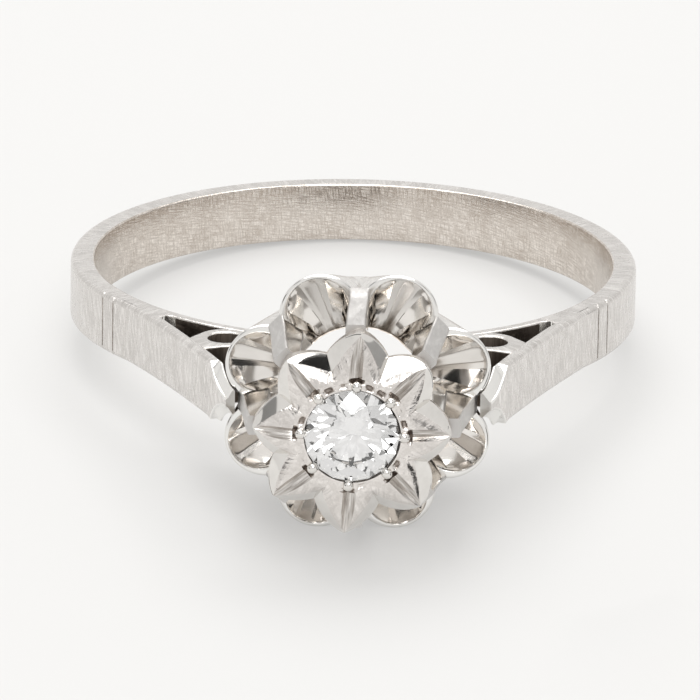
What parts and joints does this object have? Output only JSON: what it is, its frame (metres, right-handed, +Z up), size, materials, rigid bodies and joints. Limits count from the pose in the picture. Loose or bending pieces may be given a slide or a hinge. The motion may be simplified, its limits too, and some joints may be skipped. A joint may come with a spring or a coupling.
{
  "type": "diamond ring",
  "caption": "Finger ring in white gold: round brilliant in a rayed star plate over a fluted petal cup, on a slim band with split fishtail shoulders.",
  "frame": {"origin": "centre of the ring's box on the surface that it lies on", "axes": "+X to the wearer's side along the two shoulders, +Y from the flower towards the back of the band, +Z up from the surface that the ring lies on"},
  "size_m": [0.019, 0.026, 0.0085],
  "materials": {
    "satin_gold": "white gold, satin outside with polished fishtail cuts and fine wear scratches",
    "polished_gold": "polished white gold",
    "bright_gold": "white gold with bright-cut rays",
    "diamond": "faceted, clear"
  },
  "bodies": {
    "root": {"shank": "satin_gold", "petal_cup": "polished_gold", "star_plate": "bright_gold", "diamond": "diamond"}
  },
  "joints": []
}
